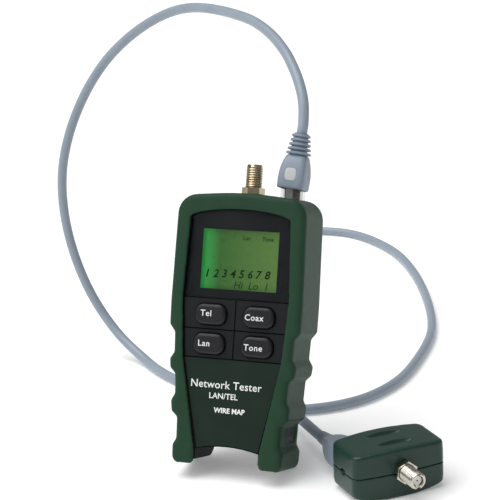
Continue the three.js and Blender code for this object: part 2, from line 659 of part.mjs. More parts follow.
// The moulded boot: a tapering body with a hood over the thumb pad, then a ribbed or a plain neck.
function boot(ribbed) {
  const { width, front, back, body, length, tip } = BOOT;
  const levels = [
    { z: 0, halfWidth: width / 2, front, back },
    { z: 8, halfWidth: width / 2, front, back },
    { z: body - 4.8, halfWidth: width / 2 - 0.8, front: front - 1.2, back: back - 0.6 },
    { z: body, halfWidth: tip + 1.6, front: tip + 1.2, back: tip + 1 },
  ];
  if (!ribbed) {
    levels.push({ z: length, halfWidth: tip, front: tip, back: tip });
  }
  const sections = levels.slice(1).map((level, i) => loft(levels[i], level));
  const neck = ribbed ? neckRings() : [];
  const half = PLUG.width / 2 + 0.75;
  const y = PLUG.thick / 2 + 0.6;
  const socket = block([-half, -y, -1], [half, y, 7.8]);
  const hood = block([-4.7, -y - 3.1, -1], [4.7, -y + 1, 11.4]);
  const window = plate(roundedRectangle(-3.4, 4, 3.4, 11.2, 2), -20, -y);
  return cut(unite(...sections, ...neck), socket, hood, window);
}

function neckRings() {
  const { body, length, tip } = BOOT;
  const count = 5;
  const pitch = (length - body) / count;
  const core = rodZ(0, 0, body - 1, length, tip, 14);
  const rings = Array.from({ length: count }, (_, i) => {
    const z = body + i * pitch + 0.5;
    return rodZ(0, 0, z, z + 1.3, tip + 2.6 - 0.4 * i, 14);
  });
  return [core, ...rings];
}

// A four-sided frustum with cut corners between two levels of a boot.
function loft(a, b) {
  const ring = ({ z, halfWidth, front, back }) => {
    const c = Math.min(halfWidth, (back + front) / 2) * 0.35;
    return [
      [halfWidth, c - front, z], [halfWidth, back - c, z], [halfWidth - c, back, z], [c - halfWidth, back, z],
      [-halfWidth, back - c, z], [-halfWidth, c - front, z],
      [c - halfWidth, -front, z], [halfWidth - c, -front, z],
    ];
  };
  const points = [...ring(a), ...ring(b)];
  const count = 8;
  const faces = [];
  for (let i = 0; i < count; i += 1) {
    const next = (i + 1) % count;
    faces.push(i, next, count + next, i, count + next, count + i);
  }
  for (let i = 1; i < count - 1; i += 1) {
    faces.push(0, i + 1, i, count, count + i, count + i + 1);
  }
  const geometry = new THREE.BufferGeometry();
  geometry.setAttribute('position', new THREE.Float32BufferAttribute(points.flat(), 3));
  geometry.setIndex(faces);
  return solid(geometry);
}

// ---- The remote, lying along x with its coaxial socket at -y; z = 0 is the table ----
function remoteOutline(grow) {
  const { half, endDepth, bulge, corner } = REMOTE;
  const side = (x) => endDepth + grow + bulge * (1 - (x / half) ** 2);
  const reach = half + grow;
  const front = [-15, -7.5, 0, 7.5, 15].map((x) => [x, -side(x)]);
  const r = corner + grow;
  const quarter = (x, y, from) => arcPoints(x, y, r, from, from + 90, 4);
  const innerX = reach - r;
  const innerY = side(innerX) - r;
  return polygon([
    ...front, ...quarter(innerX, -innerY, 270), ...quarter(innerX, innerY, 0),
    ...front.map(([x, y]) => [-x, -y]), ...quarter(-innerX, innerY, 90), ...quarter(-innerX, -innerY, 180),
  ]);
}

// The pillow seen from the front: crowned top, and a crowned bottom with a flat to rest on.
function remotePillow() {
  const { half, low, high, crown } = REMOTE;
  const reach = half + 2;
  const flat = 9;
  const bottom = [[0, 0], [flat, 0], [flat + 8, 0.75], [half, low], [reach, low + 0.3]];
  const top = crownPoints(reach, high + crown, high, 5);
  return plate(mirrored([...bottom, [reach, high], ...top.reverse()]), -30, 30);
}

function remoteBlank() {
  return column(remoteOutline(0), -1, 40).intersect(remotePillow());
}

function remoteShells() {
  const { seam, coaxX, coaxZ, plugX, low, high, crown } = REMOTE;
  const above = block([-60, -60, seam + 0.15], [60, 60, 60]);
  const below = block([-60, -60, -10], [60, 60, seam - 0.15]);
  const hollow = column(remoteOutline(-WALL), low + WALL, high - WALL);
  const coaxHole = rodY(coaxX, coaxZ, -30, -10, COAX.barrel + 0.4, 24);
  const coaxFlangeRoom = rodY(coaxX, coaxZ, -12.9, -8, 7.6, 24);
  const plugWay = block([plugX - 6.2, 8, seam - 4.4 - 3], [plugX + 6.2, 30, seam + 4.4]);
  const jackSeat = block([plugX - 8, -6.6, seam - 8.3], [plugX + 8, 13.6, seam + 5.8]);
  const slot = block([-30, -2.4, seam - 1.6], [-25.6, 2.4, seam + 1.6]);
  const shared = [hollow, coaxHole, coaxFlangeRoom, plugWay, jackSeat, slot];
  const crescents = [-6.6, 6.6].map((y) => {
    const dish = new THREE.SphereGeometry(1, 16, 8);
    dish.scale(11, 2.6, 1.1);
    dish.translate(1.5, y, high + crown + 0.1);
    return solid(dish);
  });
  const wells = REMOTE_SCREWS.map(([x, y]) => rodZ(x, y, -1, 4.2, 2.6, 16));
  const bores = REMOTE_SCREWS.map(([x, y]) => rodZ(x, y, 3, 11.6, 1.3, 10));
  const bosses = REMOTE_SCREWS.map(([x, y]) => rodZ(x, y, 3.5, seam - 0.15, 3, 16));
  const blank = remoteBlank();
  const lower = unite(cut(blank.intersect(below), ...shared), ...bosses);
  return [
    node('remote_top_shell', cut(blank.intersect(above), ...shared, ...crescents), looks.remote()),
    node('remote_bottom_shell', cut(lower, ...wells, ...bores), looks.remote()),
  ];
}

function remote() {
  const { seam, coaxX, coaxZ, plugX, endDepth, bulge } = REMOTE;
  const group = new THREE.Group();
  const socket = new THREE.Group();
  socket.position.set(coaxX, 0, coaxZ);
  socket.rotation.x = Math.PI / 2;
  socket.add(...coaxSocket('remote', looks.nickel, endDepth + bulge + GAP, 5.6, 0));
  const jackHolder = new THREE.Group();
  jackHolder.rotation.set(-Math.PI / 2, 0, Math.PI);
  jackHolder.position.set(plugX, 13.2 - JACK.length, seam);
  jackHolder.add(rj45Jack('remote_rj45_jack', 0, 0, 0));
  const board = block([-8 + GAP, -8.5, seam + 7], [15, 10, seam + 8.4]);
  const chip = block([1, -2, seam + 4.4], [9, 6, seam + 6.7]);
  group.add(...remoteShells(), socket, jackHolder, ...remoteScrews());
  group.add(node('remote_board', board, looks.board()), node('remote_chip', chip, looks.chip()));
  placeOnTable(group);
  return group;
}

function remoteScrews() {
  return REMOTE_SCREWS.map(([x, y], i) => {
    const head = rodZ(x, y, 2.6, 3.9, 2.3, 16);
    const shank = rodZ(x, y, 3.5, 11.2, 1, 10);
    const across = block([x - 1.2, y - 0.3, 1], [x + 1.2, y + 0.3, 3.4]);
    const down = block([x - 0.3, y - 1.2, 1], [x + 0.3, y + 1.2, 3.4]);
    return node(`remote_screw_${i + 1}`, cut(unite(head, shank), across, down), looks.steel());
  });
}

function placeOnTable(group) {
  group.rotation.z = THREE.MathUtils.degToRad(REMOTE.yaw);
  group.position.set(REMOTE.x, REMOTE.y, 0);
}

// ---- The lead ----
// A plug with its boot; the boot leans by its own small angle from the plug's axis.
function leadEnd(prefix, ribbed, lean, tilt) {
  const group = new THREE.Group();
  group.add(...plugPieces(prefix));
  const shape = node(`${prefix}_boot`, boot(ribbed), looks.boot());
  shape.rotation.set(-THREE.MathUtils.degToRad(tilt), THREE.MathUtils.degToRad(lean), 0);
  group.add(shape);
  return group;
}

function unitEnd() {
  const { x, y, mouth, lean, tilt } = UNIT_PLUG;
  const holder = new THREE.Group();
  const end = leadEnd('unit', true, lean, tilt);
  end.position.set(x, y - DEPTH, HEIGHT + mouth);
  holder.add(end);
  holder.rotation.x = -LEAN;
  holder.position.z = -HEEL_FLAT;
  return holder;
}

function remoteEnd() {
  const { plugX, endDepth, bulge, mouth, seam, droop } = REMOTE;
  const holder = new THREE.Group();
  const end = leadEnd('remote', false, 0, droop);
  end.rotation.set(-Math.PI / 2, 0, Math.PI);
  end.position.set(plugX, endDepth + bulge + mouth, seam);
  holder.add(end);
  placeOnTable(holder);
  return holder;
}

// Where the cable leaves a boot, and the way it heads.
function bootTip(holder) {
  holder.updateMatrixWorld(true);
  const shape = holder.children[0].children.at(-1);
  const mouth = new THREE.Vector3(0, 0, 0).applyMatrix4(shape.matrixWorld);
  const at = new THREE.Vector3(0, 0, BOOT.length + GAP).applyMatrix4(shape.matrixWorld);
  return { at, heading: at.clone().sub(mouth).normalize() };
}

function cable(startEnd, farEnd) {
  const start = bootTip(startEnd);
  const far = bootTip(farEnd);
  const straight = 5; // the cable leaves each boot along its axis for this far
  const points = [
    start.at,
    start.at.clone().addScaledVector(start.heading, straight),
    ...ROUTE.map((point) => new THREE.Vector3(...point)),
    far.at.clone().addScaledVector(far.heading, straight),
    far.at,
  ];
  const curve = new THREE.CatmullRomCurve3(points, false, 'centripetal');
  curve.arcLengthDivisions = 2000;
  const sides = 8;
  const section = regular(sides, 2 * CABLE_RADIUS * Math.cos(Math.PI / sides), Math.PI / sides);
  const geometry = new THREE.ExtrudeGeometry(section, { steps: 80, extrudePath: curve, bevelEnabled: false });
  return node('lead_cable', solid(geometry), looks.cable());
}

function build() {
  const object = new THREE.Group();
  const first = unitEnd();
  const second = remoteEnd();
  object.add(unit(), remote(), first, second, cable(first, second));
  object.position.set(-ORIGIN.x, -ORIGIN.y, 0);
  return object;
}

export default build();
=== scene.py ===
"""Looks of a network cable tester, its remote and the lead between them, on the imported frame."""
import bpy
import bmesh
import math
import numpy as np
from mathutils import Matrix, Vector


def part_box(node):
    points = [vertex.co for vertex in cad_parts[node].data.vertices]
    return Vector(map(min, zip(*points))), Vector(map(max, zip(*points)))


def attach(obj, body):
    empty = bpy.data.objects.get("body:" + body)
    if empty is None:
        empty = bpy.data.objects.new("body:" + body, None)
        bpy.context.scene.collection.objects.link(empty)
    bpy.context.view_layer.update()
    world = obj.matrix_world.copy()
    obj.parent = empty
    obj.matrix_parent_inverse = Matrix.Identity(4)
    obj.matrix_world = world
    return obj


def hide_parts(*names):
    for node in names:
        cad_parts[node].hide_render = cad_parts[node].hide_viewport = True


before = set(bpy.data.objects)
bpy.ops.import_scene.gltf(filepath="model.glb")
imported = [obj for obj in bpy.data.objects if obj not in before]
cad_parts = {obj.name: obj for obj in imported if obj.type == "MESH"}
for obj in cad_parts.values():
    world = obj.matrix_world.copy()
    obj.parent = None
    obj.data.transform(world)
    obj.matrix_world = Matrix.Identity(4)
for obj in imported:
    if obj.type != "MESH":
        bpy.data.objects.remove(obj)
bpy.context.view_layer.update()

MM = 0.001
scene = bpy.context.scene

# ---------------------------------------------------------------- frames of the two housings
# Shapes are in millimetres, and MM takes them to metres. Voxels, grains and edges are in metres.
# The layout is measured from the middle of the tester's back foot, the line that it leans about.
ORIGIN = Vector((38.54, 2.32, 0))  # the part's origin in that layout
LEAN = math.radians(18)  # how far the tester leans back on its stand
DEPTH = 34  # of the tester, front to back
HEEL = 1.6  # how far the leaning tester is lowered, so that it stands on the table
# The tester's own frame: x right, y back from the front face, z up from the bottom of the legs.
UNIT = (
    Matrix.Scale(MM, 4)
    @ Matrix.Translation(-ORIGIN)
    @ Matrix.Translation((0, 0, -HEEL))
    @ Matrix.Rotation(-LEAN, 4, "X")
    @ Matrix.Translation((0, -DEPTH, 0))
)
# The remote's own frame: x along its length, y back towards the lead, z up from the table.
REMOTE_PLACE = Vector((87.2, -13.3, 0))
REMOTE_TURN = math.radians(43)
REMOTE = (
    Matrix.Scale(MM, 4)
    @ Matrix.Translation(REMOTE_PLACE - ORIGIN)
    @ Matrix.Rotation(REMOTE_TURN, 4, "Z")
)
REMOTE_INVERSE = REMOTE.inverted()

# ---------------------------------------------------------------- camera
optics = bpy.data.cameras.new("camera")
optics.lens = 129.6
optics.sensor_width = 36
camera = bpy.data.objects.new("camera", optics)
scene.collection.objects.link(camera)
camera.matrix_world = Matrix((
    (0.93645, -0.05786, 0.34601, 0.30603),
    (0.34772, 0.28376, -0.89363, -0.86957),
    (-0.04648, 0.95715, 0.28584, 0.40120),
    (0, 0, 0, 1),
))
scene.camera = camera
scene.view_settings.view_transform = "Standard"


# ---------------------------------------------------------------- materials
class Surface:
    """One node material, with its texture coordinates in the object's own metres."""

    def __init__(self, name, colour, roughness, **sockets):
        self.material = bpy.data.materials.new(name)
        self.material.use_nodes = True
        self.tree = self.material.node_tree
        self.shader = self.tree.nodes["Principled BSDF"]
        self.place = self.tree.nodes.new("ShaderNodeTexCoord").outputs["Object"]
        self.shader.inputs["Base Color"].default_value = (*colour, 1)
        self.shader.inputs["Roughness"].default_value = roughness
        for key, value in sockets.items():
            self.shader.inputs[key.replace("_", " ")].default_value = value
        self.colour = colour
        self.roughness = roughness

    def noise(self, size, detail=2.0):
        """A noise whose blobs are about size metres across."""
        cloud = self.tree.nodes.new("ShaderNodeTexNoise")
        cloud.inputs["Scale"].default_value = 1 / size
        cloud.inputs["Detail"].default_value = detail
        self.tree.links.new(self.place, cloud.inputs["Vector"])
        return cloud.outputs["Fac"]

    def spread(self, value, low, high, start=0.3, end=0.7):
        """value, from between start and end to between low and high."""
        ranged = self.tree.nodes.new("ShaderNodeMapRange")
        ranged.inputs["From Min"].default_value = start
        ranged.inputs["From Max"].default_value = end
        ranged.inputs["To Min"].default_value = low
        ranged.inputs["To Max"].default_value = high
        self.tree.links.new(value, ranged.inputs["Value"])
        return ranged.outputs["Result"]

    def mix(self, amount, first, second):
        """A colour between first and second."""
        blend = self.tree.nodes.new("ShaderNodeMix")
        blend.data_type = "RGBA"
        self.tree.links.new(amount, blend.inputs["Factor"])
        for socket, colour in ((blend.inputs["A"], first), (blend.inputs["B"], second)):
            if isinstance(colour, tuple):
                socket.default_value = (*colour, 1)
            else:
                self.tree.links.new(colour, socket)
        return blend.outputs["Result"]

    def tone(self, share, size=0.012):
        """Soft patches, share lighter and darker than the colour."""
        dark = tuple(c * (1 - share) for c in self.colour)
        light = tuple(min(1, c * (1 + share)) for c in self.colour)
        made = self.mix(self.spread(self.noise(size, 4), 0, 1), dark, light)
        self.tree.links.new(made, self.shader.inputs["Base Color"])
        return self

    def sheen(self, change, size=0.003):
        """Roughness that changes over the surface."""
        made = self.spread(
            self.noise(size, 3), self.roughness - change, self.roughness + change
        )
        self.tree.links.new(made, self.shader.inputs["Roughness"])
        return self

    def bump(self, size, height, strength=1.0):
        """A grain of size metres across and height metres deep."""
        made = self.tree.nodes.new("ShaderNodeBump")
        made.inputs["Strength"].default_value = strength
        made.inputs["Distance"].default_value = height
        self.tree.links.new(self.noise(size), made.inputs["Height"])
        self.tree.links.new(made.outputs["Normal"], self.shader.inputs["Normal"])
        return self


M = {}  # every material by its name


def moulded(
    name, colour, roughness, grain=0.0004, height=0.00002, share=0.08, change=0.06, **sockets
):
    """Moulded plastic or rubber: fine grain, soft patches, uneven gloss."""
    made = Surface(name, colour, roughness, **sockets)
    M[name] = made.tone(share).sheen(change).bump(grain, height).material


def metal(name, colour, roughness):
    """Plated or turned metal: small patches, uneven gloss and a very shallow grain."""
    made = Surface(name, colour, roughness, Metallic=1.0)
    M[name] = made.tone(0.08, 0.003).sheen(0.05, 0.001).bump(0.0003, 0.000003, 0.3).material


def clear(name, tint, share, roughness, gloss=0.5):
    """Clear moulding: light goes through by share, with a gloss on top."""
    made = Surface(name, tint, roughness, Specular_IOR_Level=gloss)
    made.sheen(0.03).bump(0.0015, 0.00001, 0.5)
    made.shader.inputs["Alpha"].default_value = 1 - share
    M[name] = made.material


def backlit(name):
    """Green backlit display: brightest in a band near its left edge, where the lamp is."""
    made = Surface(name, (0.10, 0.18, 0.06), 0.3, Specular_IOR_Level=0.2)
    apart = made.tree.nodes.new("ShaderNodeSeparateXYZ")
    made.tree.links.new(made.place, apart.inputs[0])
    low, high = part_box("lcd_module")
    across = made.spread(apart.outputs["X"], 0, 1, low.x, high.x)
    band_start, band_end = low.x + 0.0022, low.x + 0.0130
    edge = made.spread(apart.outputs["X"], 1, 0, band_start, band_end)
    body = made.mix(across, (0.014, 0.085, 0.016), (0.100, 0.185, 0.047))
    glow = made.mix(edge, body, (0.035, 0.360, 0.075))
    patches = made.spread(made.noise(0.006, 1), 0, 0.12)
    screen = made.mix(patches, glow, (0.06, 0.14, 0.04))
    made.tree.links.new(screen, made.shader.inputs["Base Color"])
    made.tree.links.new(screen, made.shader.inputs["Emission Color"])
    made.shader.inputs["Emission Strength"].default_value = 0.45
    M[name] = made.sheen(0.05).bump(0.0006, 0.000004, 0.4).material


moulded(
    "jacket_rubber", (0.022, 0.057, 0.033), 0.4, 0.0003, 0.000025, 0.05, 0.03,
    Specular_IOR_Level=0.08,
)
moulded("black_plastic", (0.007, 0.008, 0.008), 0.5, share=0.04, Specular_IOR_Level=0.15)
moulded("label", (0.009, 0.021, 0.014), 0.5, Specular_IOR_Level=0.18)
moulded(
    "panel_plastic", (0.009, 0.011, 0.013), 0.45, 0.00025, 0.00001, Specular_IOR_Level=0.18
)
moulded("key_rubber", (0.008, 0.008, 0.010), 0.38, 0.0003, 0.00001, Specular_IOR_Level=0.35)
moulded("membrane_rubber", (0.03, 0.03, 0.032), 0.7)
moulded("white_plastic", (0.75, 0.75, 0.72), 0.4)
moulded("circuit_board", (0.01, 0.09, 0.03), 0.35, 0.001, 0.00003, 0.2)
moulded("chip_plastic", (0.02, 0.02, 0.022), 0.45)
moulded("battery_can", (0.03, 0.035, 0.05), 0.35, share=0.03, change=0.02)
metal("steel", (0.55, 0.55, 0.56), 0.3)
metal("brass", (0.50, 0.41, 0.28), 0.26)
metal("nickel", (0.55, 0.52, 0.46), 0.2)
metal("contact_gold", (0.83, 0.60, 0.25), 0.25)
moulded(
    "boot_plastic", (0.225, 0.275, 0.340), 0.42, 0.0004, 0.00002, 0.05, Specular_IOR_Level=0.4
)
moulded(
    "cable_jacket", (0.280, 0.335, 0.395), 0.38, 0.0005, 0.00002, 0.04, Specular_IOR_Level=0.45
)
moulded(
    "remote_plastic", (0.012, 0.038, 0.028), 0.32, 0.0003, 0.00002, 0.05, 0.03,
    Specular_IOR_Level=0.32,
)
moulded("print", (0.88, 0.90, 0.88), 0.5, 0.0003, 0.000004, 0.04, Specular_IOR_Level=0.2)
clear("clear_plastic", (0.34, 0.35, 0.35), 0.8, 0.08)
clear("lens", (0.003, 0.006, 0.010), 0.93, 0.05, 0.22)
clear("latch", (0.45, 0.46, 0.46), 0.6, 0.2)
moulded("core", (0.17, 0.115, 0.065), 0.4, 0.0006, 0.00003, 0.3)
moulded("window", (0.50, 0.51, 0.52), 0.3, share=0.05, Specular_IOR_Level=0.5)
moulded("shadow", (0.003, 0.003, 0.003), 0.8, Specular_IOR_Level=0.05)
moulded("pocket", (0.006, 0.013, 0.013), 0.45, Specular_IOR_Level=0.25)
backlit("display")
moulded("segment", (0.006, 0.024, 0.006), 0.5, share=0.05, Specular_IOR_Level=0.1)
moulded("segment_faint", (0.022, 0.060, 0.016), 0.5, share=0.05, Specular_IOR_Level=0.1)


# ---------------------------------------------------------------- pieces
def piece(name, mesh, body, slot, material=None, smooth=True):
    """A new object with one material that rides on a body."""
    made = bpy.data.objects.new(name, mesh)
    scene.collection.objects.link(made)
    mesh.materials.clear()
    mesh.materials.append(M[material or slot])
    if mesh.rna_type.identifier == "Mesh":
        mesh.polygons.foreach_set("use_smooth", [smooth] * len(mesh.polygons))
    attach(made, body)
    return made


def baked(source):
    """A new mesh of an object with its modifiers applied."""
    graph = bpy.context.evaluated_depsgraph_get()
    graph.update()
    return bpy.data.meshes.new_from_object(source.evaluated_get(graph), depsgraph=graph)


def settled(target):
    """Puts a piece's modifiers into its mesh."""
    mesh = baked(target)
    target.modifiers.clear()
    target.data = mesh


def ease(target, passes, group=""):
    """Adds a smoothing modifier, for all of the mesh or for one vertex group."""
    made = target.modifiers.new("ease", "SMOOTH")
    made.factor = 0.5
    made.iterations = passes
    made.vertex_group = group


def softened(name, node, body, finish, voxel, passes):
    """A finer copy of a node with its edges rounded over, standing for it."""
    draft = bpy.data.objects.new("draft", bpy.data.objects[node].data.copy())
    scene.collection.objects.link(draft)
    grid = draft.modifiers.new("grid", "REMESH")
    grid.mode = "VOXEL"
    grid.voxel_size = voxel
    ease(draft, passes)
    mesh = baked(draft)
    bpy.data.objects.remove(draft)
    made = piece(name, mesh, body, finish)
    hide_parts(node)
    return made


def grown(name, verts, faces, frame_of, body, slot, material=None):
    """A piece from vertices in millimetres of one of the housings' frames."""
    mesh = bpy.data.meshes.new(name)
    mesh.from_pydata([tuple(frame_of @ Vector(v)) for v in verts], [], faces)
    mesh.update()
    return piece(name, mesh, body, slot, material)


def carved(target, *cutters):
    """Takes each cutter's volume out of a piece, and removes the cutters."""
    for cutter in cutters:
        cutting = target.modifiers.new("cut", "BOOLEAN")
        cutting.operation = "DIFFERENCE"
        cutting.solver = "EXACT"
        cutting.object = cutter
    settled(target)
    for cutter in cutters:
        bpy.data.objects.remove(cutter)


def box_cutter(low, high, frame_of, edge=0.0):
    """A box in a housing's frame, with rounded edges if edge is above 0."""
    mesh = bpy.data.meshes.new("cutter")
    form = bmesh.new()
    bmesh.ops.create_cube(form, size=1)
    for vert in form.verts:
        vert.co = Vector(high[i] if vert.co[i] > 0 else low[i] for i in range(3))
    if edge:
        bmesh.ops.bevel(
            form, geom=form.edges[:], offset=edge, segments=4, profile=0.5, affect="EDGES",
        )
    bmesh.ops.transform(form, matrix=frame_of, verts=form.verts[:])
    form.to_mesh(mesh)
    form.free()
    made = bpy.data.objects.new("cutter", mesh)
    scene.collection.objects.link(made)
    return made


def tube(rings):
    """Vertices and faces of rings joined side to side, closed at both ends."""
    count = len(rings[0])
    verts = [v for ring in rings for v in ring]
    faces = []
    for k in range(len(rings) - 1):
        for i in range(count):
            j = (i + 1) % count
            a, b = k * count, (k + 1) * count
            faces.append((a + i, a + j, b + j, b + i))
    faces.append(tuple(reversed(range(count))))
    faces.append(tuple(range(len(verts) - count, len(verts))))
    return verts, faces


# ---------------------------------------------------------------- the lead
# Where the cable passes, in the layout's millimetres. The CAD's cable follows the same list.
ROUTE = [
    (24.4, 51.8, 194.1), (18.9, 61.2, 203.7), (11.5, 71.6, 211.5), (4, 81.5, 217),
    (-12, 100.5, 224), (-32, 119.5, 228.5), (-80, 155.5, 228.5), (-103, 165, 223),
    (-126, 168, 211), (-146, 166, 194), (-161, 161.5, 173), (-172, 156, 148),
    (-178, 152, 122), (-178.5, 150.5, 95), (-173, 149, 67), (-161, 146.5, 39.5),
    (-142.5, 141.5, 17), (-119, 129, 5.2), (-92, 106.5, 3.3), (-30, 72, 3.2),
    (7, 72, 3.2), (35, 92, 3.2), (50, 126, 3.2), (52.5, 176, 3.2),
    (45, 236, 3.2), (0, 351, 3.2), (-37, 407, 3.2), (-78, 437, 3.2),
    (-115, 434, 3.2), (-135, 403, 3.2), (-133, 346, 3.2), (-94, 218, 3.2),
    (-67, 154, 3.4), (-37, 100, 7), (-9, 66.5, 9.9), (13, 46.5, 11.2),
]
# Where the cable leaves each boot, from the part's origin, and its direction there.
START = (Vector((-12.884, 41.362, 178.686)), Vector((0.07846, 0.35726, 0.93070)))
FINISH = (Vector((2.255, 12.149, 12.562)), Vector((-0.68106, 0.73035, -0.05234)))
CABLE_RADIUS = 3
STRAIGHT = 5  # how far the cable runs straight on out of a boot
STEPS = 10  # between two points of the route


def smooth_path(points):
    """Centripetal Catmull-Rom through the points, in metres."""
    before, after = 2 * points[0] - points[1], 2 * points[-1] - points[-2]
    knots = [np.array(p) for p in (before, *points, after)]
    made = []
    for i in range(1, len(knots) - 2):
        p0, p1, p2, p3 = knots[i - 1:i + 3]
        d0, d1, d2 = (
            max(np.linalg.norm(b - a) ** 0.5, 1e-4) for a, b in ((p0, p1), (p1, p2), (p2, p3))
        )
        m1 = ((p1 - p0) / d0 - (p2 - p0) / (d0 + d1) + (p2 - p1) / d1) * d1
        m2 = ((p2 - p1) / d1 - (p3 - p1) / (d1 + d2) + (p3 - p2) / d2) * d1
        for k in range(STEPS):
            t = k / STEPS
            made.append(
                (2 * t**3 - 3 * t**2 + 1) * p1 + (t**3 - 2 * t**2 + t) * m1
                + (3 * t**2 - 2 * t**3) * p2 + (t**3 - t**2) * m2
            )
    made.append(knots[-2])
    return [Vector(p) * MM for p in made]


def cable():
    """The free cable from the tester's boot to the remote's, and the place where it starts."""
    knots = [START[0], START[0] + STRAIGHT * START[1]]
    knots += [Vector(p) - ORIGIN for p in ROUTE]
    knots += [FINISH[0] + STRAIGHT * FINISH[1], FINISH[0]]
    path = smooth_path(knots)
    curve = bpy.data.curves.new("patch_cable", "CURVE")
    curve.dimensions = "3D"
    curve.bevel_depth = CABLE_RADIUS * MM
    curve.bevel_resolution = 6
    curve.use_fill_caps = True
    line = curve.splines.new("POLY")
    line.points.add(len(path) - 1)
    for point, place in zip(line.points, path):
        point.co = (*place, 1)
    made = bpy.data.objects.new("patch_cable", curve)
    scene.collection.objects.link(made)
    curve.materials.append(M["cable_jacket"])
    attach(made, "lead")
    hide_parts("lead_cable")
    return made, path[0]


def rounded_ring(half_width, front, back, z, power, count=56):
    """A superellipse around a boot's axis; front is how far it reaches on the latch side."""
    middle = (back - front) / 2
    half_depth = (back + front) / 2
    ring = []
    for i in range(count):
        angle = 2 * math.pi * (i + 0.5) / count
        c, s = math.cos(angle), math.sin(angle)
        ring.append((
            half_width * math.copysign(abs(c) ** (2 / power), c),
            middle + half_depth * math.copysign(abs(s) ** (2 / power), s),
            z,
        ))
    return ring


# Levels of a boot: height over its mouth, half width, front, back, squareness.
BOOT_BODY = [
    (0, 7.1, 7.9, 5.8, 6), (0.35, 7.45, 8.25, 6.1, 6), (1.2, 7.6, 8.4, 6.3, 6),
    (5, 7.75, 8.5, 6.4, 6), (8.5, 7.7, 8.4, 6.4, 6), (11.5, 7.4, 8.05, 6.2, 5.5),
    (14.5, 6.85, 7.3, 5.8, 5), (17, 6.3, 6.3, 5.3, 4), (18.4, 5.8, 5.4, 5.0, 3.4),
    (18.9, 5.1, 4.8, 4.6, 3),
]
NECK_TOP = (31, 3.5, 3.5, 3.5, 2)
PLAIN_NECK = [
    (20.5, 4.55, 4.35, 4.25, 2.6), (23, 4.25, 4.1, 4.05, 2.2), (26, 3.95, 3.85, 3.85, 2),
    (29, 3.7, 3.65, 3.65, 2), NECK_TOP,
]
# One ring of the ribbed neck: height over its foot, and how far out from the core it is, 0 to 1.
RING_PROFILE = [
    (0, 0), (0.22, 0), (0.3, 0.72), (0.55, 0.94), (0.95, 1), (1.35, 0.94), (1.6, 0.72),
    (1.7, 0), (2.3, 0),
]
RING_COUNT = 5
RING_FOOT, RING_PITCH = 19.1, 2.44
RING_RADIUS, RING_STEP = 6.9, 0.44
CORE_RADIUS, CORE_STEP = 4.6, 0.16
# Boxes in a boot's frame: room for the plug, for its latch, and the window over the latch.
PLUG_ROOM = ((-6.6, -4.6, -1), (6.6, 4.6, 7.8))
LATCH_ROOM = ((-4.7, -7.6, -1), (4.7, -2.9, 11.6))
WINDOW = ((-3.4, -12, 4), (3.4, -7, 11.2))
WINDOW_EDGE = 1.6
# The pale pad in the window: its depth towards the latch side, and its size.
PAD_LEVELS = [(-7.7, 1), (-8.25, 1), (-8.42, 0.97), (-8.5, 0.9), (-8.53, 0.75)]
PAD_HALF_WIDTH, PAD_HALF_HEIGHT, PAD_MIDDLE = 3.34, 3.54, 7.6


def ribbed_neck():
    """Rings that step down towards the cable, with deep gaps between them."""
    levels = []
    for i in range(RING_COUNT):
        low = RING_FOOT + RING_PITCH * i
        radius = RING_RADIUS - RING_STEP * i
        core = CORE_RADIUS - CORE_STEP * i
        for lift, out in RING_PROFILE:
            size = core + (radius - core) * out
            levels.append((low + lift, size, size * 0.97, size * 0.93, 2.3))
    return levels + [NECK_TOP]


def boot(name, node, end, neck):
    """A moulded boot over a plug: hollow mouth, rounded window over the latch, and a neck."""
    rings = [rounded_ring(w, f, b, z, n) for z, w, f, b, n in BOOT_BODY + neck]
    made = grown(name, *tube(rings), end, "lead", "boot_plastic")
    carved(
        made,
        box_cutter(*PLUG_ROOM, end),
        box_cutter(*LATCH_ROOM, end),
        box_cutter(*WINDOW, end, WINDOW_EDGE),
    )
    pad = []
    for y, size in PAD_LEVELS:
        tall = PAD_HALF_HEIGHT * size
        outline = rounded_ring(PAD_HALF_WIDTH * size, tall, tall, 0, 4, 40)
        pad.append([(x, y, PAD_MIDDLE - z) for x, z, _ in outline])
    grown(f"{name}_window", *tube(pad), end, "lead", "clear_plastic", "window")
    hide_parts(node)
    made.data.polygons.foreach_set("use_smooth", [True] * len(made.data.polygons))
    made.data.set_sharp_from_angle(angle=math.radians(42))
    return made


def turn(x, y, z):
    """A turn by degrees about X, then about the new Y, then about the new Z."""
    return (
        Matrix.Rotation(math.radians(x), 4, "X")
        @ Matrix.Rotation(math.radians(y), 4, "Y")
        @ Matrix.Rotation(math.radians(z), 4, "Z")
    )


# Each plug's frame: z along it from its tip's end to the cable, -y towards its latch.
UNIT_PLUG = UNIT @ Matrix.Translation((23.2, 18.2, 153.8))
REMOTE_PLUG = REMOTE @ Matrix.Translation((-15, 20.7, 14.2)) @ turn(-90, 0, 180)
patch_cable, cable_exit = cable()
unit_boot = boot("unit_cable_boot", "unit_boot", UNIT_PLUG @ turn(-3, 4.5, 0), ribbed_neck())
remote_boot = boot("remote_cable_boot", "remote_boot", REMOTE_PLUG @ turn(3, 0, 0), PLAIN_NECK)

# ---------------------------------------------------------------- housings and keys
softened("jacket_skin", "rubber_jacket", "unit", "jacket_rubber", 0.00066, 6)

REMOTE_HALF_LENGTH = 27
REMOTE_HALF_WIDTH = 14.5  # at its ends; the long walls bow out by REMOTE_BOW in the middle
REMOTE_BOW = 2
RIM_REACH = 5.5
RIM_PASSES = 110
# The two finger grips on top: their middles, half length, half width and depth.
GRIP_X, GRIP_YS = 1.5, (-6.6, 6.6)
GRIP_HALF_LENGTH, GRIP_HALF_WIDTH, GRIP_DEPTH = 11.2, 2.9, 0.75


